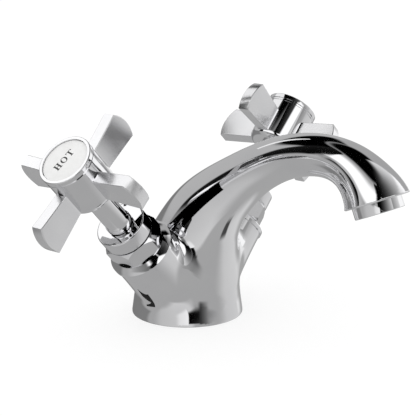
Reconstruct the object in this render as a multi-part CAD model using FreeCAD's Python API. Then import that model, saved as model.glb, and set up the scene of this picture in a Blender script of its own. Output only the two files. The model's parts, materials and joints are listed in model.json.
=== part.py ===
import FreeCAD, Part
import math
import os

Vec = FreeCAD.Vector

# Basin mixer tap. Millimetres, +Z up, origin at the middle of the foot's underside.
# +X is the way the spout points; the hot valve leans to -Y and the cold valve to +Y.

# Foot and trunk
foot_radius = 24.7
foot_edge_height = 1.2
neck_radius = 23.3
neck_height = 12.0
# Stations as shares of the flare: height above the foot's edge, thickness above the neck
flare_shares = (
    (0.0, 1.0),
    (0.21, 0.78),
    (0.47, 0.50),
    (0.73, 0.24),
    (1.0, 0.0),
)

# Spout, along its centreline
crest_height = 81.6
crest_forward = 73.5
crest_radius = 8.85
outlet_forward = 100.2
outlet_height = 66.6
outlet_radius = 13.85
outlet_droop = 67.3
# Stations as shares: forward, height and thickness on the rise to the crest
rise_shares = (
    (0.011, 0.122, 0.945),
    (0.035, 0.237, 0.849),
    (0.075, 0.353, 0.711),
    (0.124, 0.454, 0.588),
    (0.186, 0.543, 0.485),
    (0.267, 0.631, 0.368),
    (0.359, 0.713, 0.258),
    (0.464, 0.795, 0.158),
    (0.586, 0.874, 0.086),
    (0.728, 0.943, 0.038),
    (0.891, 0.989, 0.007),
)
# Stations as shares: forward, height and thickness on the fall to the outlet
fall_shares = (
    (0.00, 1.00, 0.00),
    (0.30, 0.95, 0.042),
    (0.524, 0.82, 0.167),
    (0.727, 0.593, 0.39),
    (0.88, 0.327, 0.67),
    (1.0, 0.0, 1.0),
)

# Valve axes: both cross the tap's middle plane at one point and lean out from it
valve_forward = 0.8
valve_crossing_height = 3.2
valve_lean = 43.5

# Valve arms of the body; lengths run up the valve axis from the crossing point
arm_root_start = 12.0
arm_root_radius = 15.6
arm_middle = 28.0
arm_middle_radius = 14.4
arm_end = 43.7
arm_end_radius = 14.1
arm_blend_radius = 8.0

# Waterways in the body
barrel_bore_depth = 21.7
seat_way_radius = 3.6
way_overlap = 0.7
cross_way_radius = 4.0
cross_way_rise = 26.2
cross_way_half_length = 14.0
spout_way_radius = 5.0

# Fixings in the foot
inlet_offset = 9.0
inlet_thread_radius = 4.5
inlet_thread_depth = 12.0
stud_offset = 14.0
stud_thread_radius = 3.4
stud_thread_depth = 12.0
seal_outer_wall = 2.1
seal_width = 2.3
seal_height = 2.0
seal_clearance = 0.1

# Outlet and aerator
outlet_wall = 4.6
aerator_bore_depth = 9.0
aerator_wall = 1.8
aerator_head_step = 1.05
aerator_head_length = 4.7
aerator_head_round = 0.35
aerator_lip_width = 0.8
aerator_lip_height = 0.8
aerator_insert_height = 7.5
aerator_plate_thickness = 1.0
aerator_jet_radius = 0.75
aerator_jet_circle_shares = (0.36, 0.74)
aerator_jets_per_step = 6
aerator_washer_width = 2.4
aerator_washer_thickness = 1.8

# Headwork: barrel, side windows, hexagon and top stub
barrel_radius = 10.2
barrel_inner_radius = 8.0
barrel_window_width = 7.0
barrel_window_gap = 0.75
barrel_window_height = 4.8
barrel_ring_depth = 4.1
barrel_ring_width = 1.2
barrel_ring_height = 2.2
hexagon_flats = 22.0
hexagon_height = 8.4
hexagon_chamfer_height = 1.5
hexagon_chamfer_width = 1.4
stub_radius = 8.6
stub_height = 4.4

# Ceramic discs and their seat
seat_seal_height = 2.0
seat_seal_width = 2.2
ceramic_clearance = 0.2
ceramic_thickness = 2.4
ceramic_window_inner = 2.2
ceramic_window_outer = 6.3
ceramic_window_angle = 76.0
ceramic_lug_slot_width = 2.6
ceramic_lug_slot_depth = 1.2

# Flange ring on the arm's end
flange_radius = 14.6
flange_height = 3.7
flange_edge_height = 1.5
flange_shoulder = 0.7
flange_top_radius = 11.9

# Collar
collar_gap = 0.3
collar_wall = 2.55
collar_headroom = 1.7
collar_roof = 1.3
collar_hole_clearance = 0.4
collar_edge_round = 0.7

# Spindle
journal_radius = 5.0
driver_flange_clearance = 0.5
driver_flange_gap = 1.2
driver_flange_thickness = 2.3
driver_end_play = 0.1
driver_stem_radius = 2.9
driver_lug_depth = 1.1
driver_lug_side_gap = 0.1
driver_lug_height = 3.2
spindle_ring_width = 1.2
spindle_ring_height = 2.0
spindle_ring_rises = (5.0, 12.0)
circlip_groove_depth = 0.8
circlip_thickness = 0.8
circlip_width = 2.4
circlip_gap_width = 3.0
spline_step = 1.0
spline_depth = 0.4
spline_teeth = 16
spline_clearance = 0.05
spline_end_gap = 1.0
screw_thread_radius = 2.5
screw_hole_depth = 13.0

# Crosshead handle
handle_gap = 0.6
handle_neck_wall = 1.4
handle_neck_length = 21.6
handle_neck_foot_step = 0.45
handle_neck_foot_height = 1.6
hub_radius = 11.7
hub_height = 19.8
hub_rear_round = 3.2
hub_wall = 3.1
hub_recess_depth = 7.0
spline_socket_roof = 4.0
paddle_thickness = 5.7
paddle_front_tip_radius = 28.8
paddle_rear_tip_radius = 30.0
paddle_tip_bulge = 2.2
paddle_front_root_drop = 5.9
paddle_front_tip_drop = 3.7
paddle_rear_root_rise = 2.9
paddle_rear_tip_rise = 0.9
paddle_edge_round = 0.4
paddle_count = 4

# Bezel, index disc and handle screw
bezel_overhang = 0.2
bezel_height = 3.3
bezel_spigot_length = 3.0
bezel_spigot_wall = 1.4
bezel_lip_width = 1.4
bezel_lip_height = 0.6
bezel_groove_depth = 0.35
bezel_groove_width = 0.6
bezel_edge_round = 0.4
index_thickness = 1.2
index_clearance = 0.1
index_edge_round = 0.25
screw_head_radius = 4.4
screw_head_height = 2.6
screw_length = 12.5
screw_socket_flats = 3.0
screw_socket_depth = 1.6

# General
fit_clearance = 0.05
running_gap = 0.05
overrun = 1.0
ring_tolerance = 0.02

# Radii that follow from the pieces they fit
seal_outer_radius = foot_radius - seal_outer_wall
seal_inner_radius = seal_outer_radius - seal_width
aerator_bore_radius = outlet_radius - outlet_wall
aerator_thread_radius = aerator_bore_radius - fit_clearance
aerator_flow_radius = aerator_thread_radius - aerator_wall
barrel_bore_radius = barrel_radius + fit_clearance
barrel_ring_groove_radius = barrel_radius - barrel_ring_width
ceramic_radius = barrel_inner_radius - ceramic_clearance
journal_bore_radius = journal_radius + running_gap
spindle_groove_radius = journal_radius - spindle_ring_width
circlip_groove_radius = journal_radius - circlip_groove_depth
spline_tip_radius = journal_radius - spline_step
spline_root_radius = spline_tip_radius - spline_depth
handle_neck_radius = spline_tip_radius + spline_clearance + handle_neck_wall
hub_recess_radius = hub_radius - hub_wall
bezel_radius = hub_radius + bezel_overhang
bezel_lip_inner_radius = bezel_radius - bezel_lip_width

# Heights up the valve axis that follow from the stack of pieces
seat_floor = arm_end - barrel_bore_depth
fixed_disc_bottom = seat_floor + seat_seal_height
moving_disc_bottom = fixed_disc_bottom + ceramic_thickness + running_gap
moving_disc_top = moving_disc_bottom + ceramic_thickness
window_bottom = moving_disc_top + barrel_window_gap
window_top = window_bottom + barrel_window_height
driver_flange_bottom = window_top + driver_flange_gap
driver_flange_top = driver_flange_bottom + driver_flange_thickness
chamber_top = driver_flange_top + driver_end_play
barrel_ring_bottom = arm_end - barrel_ring_depth
hexagon_bottom = arm_end + flange_height
hexagon_top = hexagon_bottom + hexagon_height
stub_top = hexagon_top + stub_height
circlip_bottom = stub_top + running_gap
collar_bottom = hexagon_top + collar_gap
collar_top = stub_top + collar_headroom + collar_roof
spindle_shoulder = collar_top + handle_gap
hub_rear = spindle_shoulder + handle_neck_length
hub_front = hub_rear + hub_height
hub_recess_floor = hub_front - hub_recess_depth
spline_socket_top = hub_recess_floor - spline_socket_roof
spline_top = spline_socket_top - spline_end_gap
bezel_top = hub_front + bezel_height
index_top = bezel_top - bezel_lip_height
index_seat = index_top - index_thickness


def turned(points):
    """A solid of revolution about Z from an outline of (radius, height) points."""
    corners = [Vec(radius, 0, height) for radius, height in points]
    outline = Part.makePolygon(corners + corners[:1])
    return Part.Face(outline).revolve(Vec(0, 0, 0), Vec(0, 0, 1), 360)


def tube(outer, inner, bottom, top):
    """A plain ring about Z."""
    return turned([(inner, bottom), (outer, bottom), (outer, top), (inner, top)])


def rod(radius, bottom, top):
    """A plain round bar about Z."""
    return Part.makeCylinder(radius, top - bottom, Vec(0, 0, bottom))


def bar(length, width, bottom, top):
    """A square-cut bar centred on Z."""
    corner = Vec(-length / 2, -width / 2, bottom)
    return Part.makeBox(length, width, top - bottom, corner)


def prism(flats, bottom, top):
    """A hexagonal bar about Z with its corners on the X axis."""
    corner_radius = flats / math.sqrt(3)
    corners = []
    for step in range(6):
        angle = math.radians(60 * step)
        corners.append(Vec(corner_radius * math.cos(angle), corner_radius * math.sin(angle), bottom))
    face = Part.Face(Part.makePolygon(corners + corners[:1]))
    return face.extrude(Vec(0, 0, top - bottom))


def splined_bar(tip, root, bottom, top):
    """A straight-sided splined bar about Z."""
    corners = []
    tooth = 360.0 / spline_teeth
    for step in range(spline_teeth):
        for share, radius in ((0.0, root), (0.3, root), (0.5, tip), (0.8, tip)):
            angle = math.radians(tooth * (step + share))
            corners.append(Vec(radius * math.cos(angle), radius * math.sin(angle), bottom))
    face = Part.Face(Part.makePolygon(corners + corners[:1]))
    return face.extrude(Vec(0, 0, top - bottom))


def ring_edges(shape, radius, height):
    """The full-circle edges of one radius at one height about Z."""
    found = []
    for edge in shape.Edges:
        curve = edge.Curve
        if curve.TypeId != "Part::GeomCircle":
            continue
        offset = curve.Center.distanceToPoint(Vec(0, 0, height))
        if offset < ring_tolerance and abs(curve.Radius - radius) < ring_tolerance:
            found.append(edge)
    return found


def on_valve(shape, side):
    """Carry a shape from the upright valve frame to its arm: side is 1 for hot and -1 for cold."""
    placed = shape.copy()
    placed.rotate(Vec(0, 0, 0), Vec(1, 0, 0), side * valve_lean)
    placed.translate(Vec(valve_forward, 0, valve_crossing_height))
    return placed


def spout_stations():
    """Centre (forward, height) and radius of each round section, from the foot to the outlet."""
    stations = []
    for height, thickness in flare_shares:
        stations.append((
            0.0,
            foot_edge_height + (neck_height - foot_edge_height) * height,
            neck_radius + (foot_radius - neck_radius) * thickness,
        ))
    for forward, height, thickness in rise_shares:
        stations.append((
            crest_forward * forward,
            neck_height + (crest_height - neck_height) * height,
            crest_radius + (neck_radius - crest_radius) * thickness,
        ))
    for forward, height, thickness in fall_shares:
        stations.append((
            crest_forward + (outlet_forward - crest_forward) * forward,
            outlet_height + (crest_height - outlet_height) * height,
            crest_radius + (outlet_radius - crest_radius) * thickness,
        ))
    return stations


def spout_centreline():
    """A smooth curve through the stations, upright at the foot and drooping at the outlet."""
    points = [Vec(forward, 0, height) for forward, height, radius in spout_stations()]
    droop = math.radians(outlet_droop)
    curve = Part.BSplineCurve()
    curve.interpolate(
        Points=points,
        InitialTangent=Vec(0, 0, 1),
        FinalTangent=Vec(math.cos(droop), 0, -math.sin(droop)),
    )
    return curve


def round_section(centre, direction, radius):
    """A circle square to a direction in the XZ plane, always starting on its front side."""
    circle = Part.Circle(Vec(0, 0, 0), Vec(0, 0, 1), radius).toShape()
    lean = math.degrees(math.atan2(direction.x, direction.z))
    circle.rotate(Vec(0, 0, 0), Vec(0, 1, 0), lean)
    circle.translate(centre)
    return Part.Wire(circle)


def outlet_frame(shape):
    """Carry a shape whose Z axis is the outlet's to the spout's end, Z pointing back up the spout."""
    placed = shape.copy()
    placed.rotate(Vec(0, 0, 0), Vec(0, 1, 0), outlet_droop - 90)
    placed.translate(Vec(outlet_forward, 0, outlet_height))
    return placed


def spout_skin():
    """The trunk and arched spout as one loft of round sections."""
    curve = spout_centreline()
    sections = []
    for forward, height, radius in spout_stations():
        centre = Vec(forward, 0, height)
        direction = curve.tangent(curve.parameter(centre))[0]
        sections.append(round_section(centre, direction, radius))
    return Part.makeLoft(sections, True, False).fuse(rod(foot_radius, 0, foot_edge_height))


def valve_arm():
    """One arm in the upright valve frame, swelling towards the trunk."""
    stations = (
        (arm_root_start, arm_root_radius),
        (arm_middle, arm_middle_radius),
        (arm_end, arm_end_radius),
    )
    rings = []
    for height, radius in stations:
        rings.append(Part.Wire(Part.Circle(Vec(0, 0, height), Vec(0, 0, 1), radius).toShape()))
    return Part.makeLoft(rings, True, False)


def junction_edges(body):
    """The edges where one lofted skin meets another."""
    found = []
    for edge in body.Edges:
        faces = body.ancestorsOfType(edge, Part.Face)
        if len(faces) == 2 and all(face.Surface.TypeId == "Part::GeomBSplineSurface" for face in faces):
            found.append(edge)
    return found


def body_casting():
    """The one-piece brass body with its arms, spout, bores and waterways."""
    body = spout_skin()
    for side in (1, -1):
        body = body.fuse(on_valve(valve_arm(), side))
    body = body.makeFillet(arm_blend_radius, junction_edges(body))
    return body.cut(waterways())


def waterways():
    """All bores and waterways of the body as one cutting solid."""
    lean = math.radians(valve_lean)
    seat_way_bottom = inlet_offset / math.sin(lean) - way_overlap
    inlet_way_top = valve_crossing_height + inlet_offset / math.tan(lean) + way_overlap
    tools = []
    for side in (1, -1):
        tools.append(on_valve(rod(barrel_bore_radius, seat_floor, arm_end + overrun), side))
        tools.append(on_valve(rod(seat_way_radius, seat_way_bottom, seat_floor + overrun), side))
        inlet = rod(inlet_thread_radius, -overrun, inlet_thread_depth)
        inlet = inlet.fuse(rod(seat_way_radius, 0, inlet_way_top))
        inlet.translate(Vec(valve_forward, -side * inlet_offset, 0))
        tools.append(inlet)
    stud = rod(stud_thread_radius, -overrun, stud_thread_depth)
    stud.translate(Vec(-stud_offset, 0, 0))
    tools.append(stud)
    cross = Part.makeCylinder(
        cross_way_radius,
        2 * cross_way_half_length,
        Vec(valve_forward, -cross_way_half_length, valve_crossing_height + cross_way_rise),
        Vec(0, 1, 0),
    )
    tools.append(cross)
    tools.append(spout_way())
    tools.append(outlet_frame(rod(aerator_bore_radius, -overrun, aerator_bore_depth)))
    groove_outer = seal_outer_radius + seal_clearance
    groove_inner = seal_inner_radius - seal_clearance
    tools.append(tube(groove_outer, groove_inner, -overrun, seal_height))
    return tools[0].multiFuse(tools[1:])


def spout_way():
    """The waterway from the cross passage along the spout into the outlet's bore."""
    curve = spout_centreline()
    lowest = valve_crossing_height + cross_way_rise - cross_way_radius
    sections = []
    for forward, height, radius in spout_stations()[:-1]:
        if height < lowest:
            continue
        centre = Vec(forward, 0, height)
        direction = curve.tangent(curve.parameter(centre))[0]
        sections.append(round_section(centre, direction, spout_way_radius))
    droop = math.radians(outlet_droop)
    outlet_direction = Vec(math.cos(droop), 0, -math.sin(droop))
    end = Vec(outlet_forward, 0, outlet_height) - outlet_direction * (aerator_bore_depth - overrun)
    sections.append(round_section(end, outlet_direction, spout_way_radius))
    return Part.makeLoft(sections, True, False)


def base_seal():
    """The square-section rubber ring in the foot's groove."""
    return tube(seal_outer_radius, seal_inner_radius, 0, seal_height)


def aerator_housing():
    """The chromed screw-in shell: threaded part inside the outlet, head below it."""
    head_radius = aerator_bore_radius + aerator_head_step
    lip_radius = aerator_flow_radius - aerator_lip_width
    thread_top = aerator_bore_depth - aerator_washer_thickness
    shell = turned([
        (lip_radius, -aerator_head_length),
        (head_radius, -aerator_head_length),
        (head_radius, 0),
        (aerator_thread_radius, 0),
        (aerator_thread_radius, thread_top),
        (aerator_flow_radius, thread_top),
        (aerator_flow_radius, aerator_lip_height - aerator_head_length),
        (lip_radius, aerator_lip_height - aerator_head_length),
    ])
    edges = ring_edges(shell, head_radius, -aerator_head_length)
    return outlet_frame(shell.makeFillet(aerator_head_round, edges))


def aerator_insert():
    """The flow insert: a cup with a jet plate of round holes across it."""
    bottom = aerator_lip_height - aerator_head_length
    radius = aerator_flow_radius - fit_clearance
    wall = aerator_plate_thickness
    cup = rod(radius, bottom, bottom + aerator_insert_height)
    cup = cup.cut(rod(radius - wall, bottom + wall, bottom + aerator_insert_height + overrun))
    jets = [rod(aerator_jet_radius, bottom - overrun, bottom + wall + overrun)]
    for ring, share in enumerate(aerator_jet_circle_shares, start=1):
        count = aerator_jets_per_step * ring
        for step in range(count):
            jet = jets[0].copy()
            jet.translate(Vec(share * (radius - wall), 0, 0))
            jet.rotate(Vec(0, 0, 0), Vec(0, 0, 1), 360.0 * step / count)
            jets.append(jet)
    return outlet_frame(cup.cut(jets))


def aerator_washer():
    """The flat washer between the aerator's shell and the floor of its bore."""
    inner = aerator_thread_radius - aerator_washer_width
    bottom = aerator_bore_depth - aerator_washer_thickness
    return outlet_frame(tube(aerator_thread_radius, inner, bottom, aerator_bore_depth))


def seat_seal():
    """The rubber ring under the fixed disc."""
    return tube(ceramic_radius, ceramic_radius - seat_seal_width, seat_floor, fixed_disc_bottom)


def window_sector():
    """One sector-shaped window of a ceramic disc, centred on the X axis, from the disc's lower face up."""
    height = ceramic_thickness + 2 * overrun
    base = Vec(0, 0, -overrun)
    outer = Part.makeCylinder(ceramic_window_outer, height, base, Vec(0, 0, 1), ceramic_window_angle)
    inner = rod(ceramic_window_inner, -2 * overrun, height)
    sector = outer.cut(inner)
    sector.rotate(Vec(0, 0, 0), Vec(0, 0, 1), -ceramic_window_angle / 2)
    return sector


def ceramic_disc(bottom, radius, turn, slots):
    """A ceramic disc with two opposite windows, turned about the axis, with lug slots on its upper face."""
    disc = rod(radius, 0, ceramic_thickness)
    for step in range(2):
        window = window_sector()
        window.rotate(Vec(0, 0, 0), Vec(0, 0, 1), 180 * step)
        disc = disc.cut(window)
    if slots:
        slot_bottom = ceramic_thickness - ceramic_lug_slot_depth
        slot = bar(2 * (radius + overrun), ceramic_lug_slot_width, slot_bottom, ceramic_thickness + overrun)
        slot.rotate(Vec(0, 0, 0), Vec(0, 0, 1), 90)
        disc = disc.cut(slot)
    disc.rotate(Vec(0, 0, 0), Vec(0, 0, 1), turn)
    disc.translate(Vec(0, 0, bottom))
    return disc


def fixed_disc():
    """The lower disc, held still in the barrel."""
    return ceramic_disc(fixed_disc_bottom, ceramic_radius, 0, False)


def moving_disc():
    """The upper disc, a quarter turn from the fixed one while the valve is shut."""
    return ceramic_disc(moving_disc_bottom, ceramic_radius - running_gap, 90, True)


def headwork():
    """The brass headwork: windowed barrel, hexagon and top stub, bored for the spindle."""
    core = rod(barrel_radius, fixed_disc_bottom, hexagon_bottom)
    hexagon = prism(hexagon_flats, hexagon_bottom, hexagon_top)
    corner_radius = hexagon_flats / math.sqrt(3)
    chamfer_radius = corner_radius - hexagon_chamfer_width
    cone = turned([
        (0, hexagon_bottom),
        (chamfer_radius, hexagon_bottom),
        (corner_radius, hexagon_bottom + hexagon_chamfer_height),
        (corner_radius, hexagon_top - hexagon_chamfer_height),
        (chamfer_radius, hexagon_top),
        (0, hexagon_top),
    ])
    core = core.fuse(hexagon.common(cone))
    core = core.fuse(rod(stub_radius, hexagon_top, stub_top))
    core = core.cut(rod(barrel_inner_radius, fixed_disc_bottom - overrun, chamber_top))
    core = core.cut(rod(journal_bore_radius, chamber_top - overrun, stub_top + overrun))
    groove_top = barrel_ring_bottom + barrel_ring_height
    cutter_radius = barrel_radius + overrun
    core = core.cut(tube(cutter_radius, barrel_ring_groove_radius, barrel_ring_bottom, groove_top))
    window = bar(2 * cutter_radius, barrel_window_width, window_bottom, window_top)
    core = core.cut(window)
    window.rotate(Vec(0, 0, 0), Vec(0, 0, 1), 90)
    return core.cut(window)


def barrel_ring():
    """The O-ring round the headwork's barrel, squeezed square in its groove."""
    top = barrel_ring_bottom + barrel_ring_height
    return tube(barrel_radius, barrel_ring_groove_radius, barrel_ring_bottom, top)


def flange_ring():
    """The bevelled ring clamped between the arm's end and the hexagon."""
    edge_top = arm_end + flange_edge_height
    return turned([
        (barrel_bore_radius, arm_end),
        (flange_radius, arm_end),
        (flange_radius, edge_top),
        (flange_radius - flange_shoulder, edge_top + flange_shoulder),
        (flange_top_radius, hexagon_bottom),
        (barrel_bore_radius, hexagon_bottom),
    ])


def collar():
    """The round cap nut over the headwork's stub."""
    inner_radius = stub_radius + fit_clearance
    outer_radius = inner_radius + collar_wall
    hole_radius = journal_radius + collar_hole_clearance
    shell = turned([
        (inner_radius, collar_bottom),
        (outer_radius, collar_bottom),
        (outer_radius, collar_top),
        (hole_radius, collar_top),
        (hole_radius, collar_top - collar_roof),
        (inner_radius, collar_top - collar_roof),
    ])
    edges = ring_edges(shell, outer_radius, collar_top) + ring_edges(shell, outer_radius, collar_bottom)
    return shell.makeFillet(collar_edge_round, edges)


def spindle():
    """The spindle: driver lugs and flange below, journal with ring grooves, splined top."""
    driver_radius = barrel_inner_radius - driver_flange_clearance
    lug_width = ceramic_lug_slot_width - 2 * driver_lug_side_gap
    lug_bottom = moving_disc_top - driver_lug_depth
    lug_top = moving_disc_top + driver_lug_height
    cutter_radius = journal_radius + overrun
    shaft = rod(driver_stem_radius, moving_disc_top, driver_flange_bottom)
    shaft = shaft.fuse(rod(driver_radius, driver_flange_bottom, driver_flange_top))
    lug = bar(2 * driver_radius, lug_width, lug_bottom, lug_top)
    shaft = shaft.fuse(lug.common(rod(ceramic_radius - 2 * running_gap, lug_bottom, lug_top)))
    shaft = shaft.fuse(rod(journal_radius, driver_flange_top, spindle_shoulder))
    shaft = shaft.fuse(splined_bar(spline_tip_radius, spline_root_radius, spindle_shoulder, spline_top))
    for rise in spindle_ring_rises:
        bottom = chamber_top + rise
        top = bottom + spindle_ring_height
        shaft = shaft.cut(tube(cutter_radius, spindle_groove_radius, bottom, top))
    circlip_top = circlip_bottom + circlip_thickness
    shaft = shaft.cut(tube(cutter_radius, circlip_groove_radius, circlip_bottom, circlip_top))
    return shaft.cut(rod(screw_thread_radius, spline_top - screw_hole_depth, spline_top + overrun))


def spindle_rings():
    """The two O-rings in the spindle's grooves."""
    rings = []
    for rise in spindle_ring_rises:
        bottom = chamber_top + rise
        rings.append(tube(journal_radius, spindle_groove_radius, bottom, bottom + spindle_ring_height))
    return Part.makeCompound(rings)


def circlip():
    """The open clip that keeps the spindle in the headwork."""
    outer_radius = circlip_groove_radius + circlip_width
    clip = tube(outer_radius, circlip_groove_radius, circlip_bottom, circlip_bottom + circlip_thickness)
    gap = Part.makeBox(outer_radius + overrun, circlip_gap_width, circlip_thickness + 2 * overrun)
    gap.translate(Vec(0, -circlip_gap_width / 2, circlip_bottom - overrun))
    return clip.cut(gap)


def paddle():
    """One flared arm of the handle: its side outline, drawn in the XZ plane, given the arm's thickness."""
    root_radius = hub_radius / 2
    front_root = Vec(root_radius, 0, hub_front - paddle_front_root_drop)
    front_tip = Vec(paddle_front_tip_radius, 0, hub_front - paddle_front_tip_drop)
    rear_tip = Vec(paddle_rear_tip_radius, 0, hub_rear + paddle_rear_tip_rise)
    rear_root = Vec(root_radius, 0, hub_rear + paddle_rear_root_rise)
    bulge = (front_tip + rear_tip) / 2 + Vec(paddle_tip_bulge, 0, 0)
    tip = Part.Arc(front_tip, bulge, rear_tip).toShape()
    sides = Part.makePolygon([rear_tip, rear_root, front_root, front_tip]).Edges
    face = Part.Face(Part.Wire([tip] + sides))
    face.translate(Vec(0, -paddle_thickness / 2, 0))
    blade = face.extrude(Vec(0, paddle_thickness, 0))
    side_edges = []
    for edge in blade.Edges:
        across = edge.BoundBox.YLength > paddle_thickness / 2
        if not across and edge.BoundBox.XMax > hub_radius:
            side_edges.append(edge)
    return blade.makeFillet(paddle_edge_round, side_edges)


def handle():
    """The crosshead handle: splined neck, round hub with its recess, and four paddles."""
    hub = rod(hub_radius, hub_rear, hub_front)
    hub = hub.makeFillet(hub_rear_round, ring_edges(hub, hub_radius, hub_rear))
    neck_foot_radius = handle_neck_radius + handle_neck_foot_step
    neck = turned([
        (0, spindle_shoulder),
        (neck_foot_radius, spindle_shoulder),
        (neck_foot_radius, spindle_shoulder + handle_neck_foot_height),
        (handle_neck_radius, spindle_shoulder + 2 * handle_neck_foot_height),
        (handle_neck_radius, hub_rear + hub_rear_round),
        (0, hub_rear + hub_rear_round),
    ])
    arms = []
    for step in range(paddle_count):
        arm = paddle()
        arm.rotate(Vec(0, 0, 0), Vec(0, 0, 1), 360.0 * step / paddle_count)
        arms.append(arm)
    cross = hub.multiFuse([neck] + arms).removeSplitter()
    socket = splined_bar(
        spline_tip_radius + spline_clearance,
        spline_root_radius + spline_clearance,
        spindle_shoulder - overrun,
        spline_socket_top,
    )
    cross = cross.cut(socket)
    cross = cross.cut(rod(hub_recess_radius, hub_recess_floor, hub_front + overrun))
    screw_way_radius = screw_thread_radius + fit_clearance
    return cross.cut(rod(screw_way_radius, spline_socket_top - overrun, hub_recess_floor + overrun))


def handle_screw():
    """The socket-headed screw that draws the handle onto the spindle."""
    screw = rod(screw_head_radius, hub_recess_floor, hub_recess_floor + screw_head_height)
    shank_bottom = hub_recess_floor - screw_length
    screw = screw.fuse(rod(screw_thread_radius - fit_clearance, shank_bottom, hub_recess_floor))
    head_top = hub_recess_floor + screw_head_height
    return screw.cut(prism(screw_socket_flats, head_top - screw_socket_depth, head_top + overrun))


def bezel():
    """The chromed ring pushed into the hub's recess, with a thin lip round the index disc."""
    spigot_radius = hub_recess_radius - fit_clearance
    groove_bottom = hub_front + bezel_groove_width
    ring = turned([
        (spigot_radius - bezel_spigot_wall, hub_front - bezel_spigot_length),
        (spigot_radius, hub_front - bezel_spigot_length),
        (spigot_radius, hub_front),
        (bezel_radius, hub_front),
        (bezel_radius, groove_bottom),
        (bezel_radius - bezel_groove_depth, groove_bottom),
        (bezel_radius - bezel_groove_depth, groove_bottom + bezel_groove_width),
        (bezel_radius, groove_bottom + bezel_groove_width),
        (bezel_radius, bezel_top),
        (bezel_lip_inner_radius, bezel_top),
        (bezel_lip_inner_radius, index_seat),
        (spigot_radius - bezel_spigot_wall, index_seat),
    ])
    return ring.makeFillet(bezel_edge_round, ring_edges(ring, bezel_radius, bezel_top))


def index_disc():
    """The white disc in the bezel."""
    radius = bezel_lip_inner_radius - index_clearance
    disc = rod(radius, index_seat, index_top)
    return disc.makeFillet(index_edge_round, ring_edges(disc, radius, index_top))


body_parts = {
    "body_casting": body_casting,
    "base_seal": base_seal,
    "aerator_housing": aerator_housing,
    "aerator_insert": aerator_insert,
    "aerator_washer": aerator_washer,
}

valve_parts = {
    "seat_seal": seat_seal,
    "fixed_disc": fixed_disc,
    "moving_disc": moving_disc,
    "headwork": headwork,
    "barrel_ring": barrel_ring,
    "flange_ring": flange_ring,
    "collar": collar,
    "spindle": spindle,
    "spindle_rings": spindle_rings,
    "circlip": circlip,
    "handle": handle,
    "handle_screw": handle_screw,
    "bezel": bezel,
    "index_disc": index_disc,
}

os.makedirs("parts", exist_ok=True)
for name, make in body_parts.items():
    make().exportStep("parts/" + name + ".step")
for name, make in valve_parts.items():
    piece = make()
    for side_name, side in (("hot", 1), ("cold", -1)):
        on_valve(piece, side).exportStep("parts/" + side_name + "_" + name + ".step")
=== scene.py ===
import json
import math

import bmesh
import bpy
import numpy as np
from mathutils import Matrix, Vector
from mathutils.geometry import tessellate_polygon


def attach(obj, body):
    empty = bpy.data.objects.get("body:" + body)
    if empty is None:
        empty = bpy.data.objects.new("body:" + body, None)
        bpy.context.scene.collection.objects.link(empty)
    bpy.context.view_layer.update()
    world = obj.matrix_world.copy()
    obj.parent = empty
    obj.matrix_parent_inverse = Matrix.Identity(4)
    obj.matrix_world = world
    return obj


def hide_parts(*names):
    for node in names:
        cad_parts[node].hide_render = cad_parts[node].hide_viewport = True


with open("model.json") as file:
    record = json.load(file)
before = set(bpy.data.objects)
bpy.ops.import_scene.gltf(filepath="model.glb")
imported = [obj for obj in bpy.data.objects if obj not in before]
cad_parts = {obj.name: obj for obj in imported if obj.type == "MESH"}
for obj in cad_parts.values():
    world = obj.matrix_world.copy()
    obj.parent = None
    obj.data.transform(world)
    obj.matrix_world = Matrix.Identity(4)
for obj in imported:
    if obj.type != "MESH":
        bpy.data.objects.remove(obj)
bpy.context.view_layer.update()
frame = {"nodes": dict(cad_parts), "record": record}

nodes = frame["nodes"]

# Sizes are in millimetres and angles in degrees; meshes are made in metres
mm = 0.001

# Camera: the photograph's viewing angle
camera_azimuth = 40.6
camera_elevation = 14.4
camera_distance = 650.0
camera_target = (12.2, 0.0, 49.4)
camera_lens = 128.94
camera_sensor = 36.0

# Edges of the turned and milled pieces that are sharper than this stay sharp
smooth_angle = 26.0
weld_distance = 0.002

# Body casting, foot and trunk
foot_radius = 24.7
foot_edge_height = 1.2
foot_edge_round = 0.5
neck_radius = 23.3
neck_height = 12.0
# Stations as shares of the flare: height above the foot's edge, thickness above the neck
flare_shares = (
    (0.0, 1.0),
    (0.21, 0.78),
    (0.47, 0.50),
    (0.73, 0.24),
    (1.0, 0.0),
)

# Body casting, spout along its centreline
crest_height = 81.6
crest_forward = 73.5
crest_radius = 8.85
outlet_forward = 100.2
outlet_height = 66.6
outlet_radius = 13.85
outlet_droop = 67.3
outlet_edge_round = 0.6
outlet_bore_radius = 9.25
outlet_bore_depth = 9.0
outlet_overrun = 2.0
# Stations as shares: forward, height and thickness on the rise to the crest
rise_shares = (
    (0.011, 0.122, 0.945),
    (0.035, 0.237, 0.849),
    (0.075, 0.353, 0.711),
    (0.124, 0.454, 0.588),
    (0.186, 0.543, 0.485),
    (0.267, 0.631, 0.368),
    (0.359, 0.713, 0.258),
    (0.464, 0.795, 0.158),
    (0.586, 0.874, 0.086),
    (0.728, 0.943, 0.038),
    (0.891, 0.989, 0.007),
)
# Stations as shares: forward, height and thickness on the fall to the outlet
fall_shares = (
    (0.00, 1.00, 0.00),
    (0.30, 0.95, 0.042),
    (0.524, 0.82, 0.167),
    (0.727, 0.593, 0.39),
    (0.88, 0.327, 0.67),
    (1.0, 0.0, 1.0),
)

# Body casting, valve arms: rise up the valve axis and radius
valve_forward = 0.8
valve_crossing_height = 3.2
valve_lean = 43.5
arm_root = (12.0, 15.6)
arm_middle = (28.0, 14.4)
arm_end = (43.7, 14.1)
arm_overrun = 0.9

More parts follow.
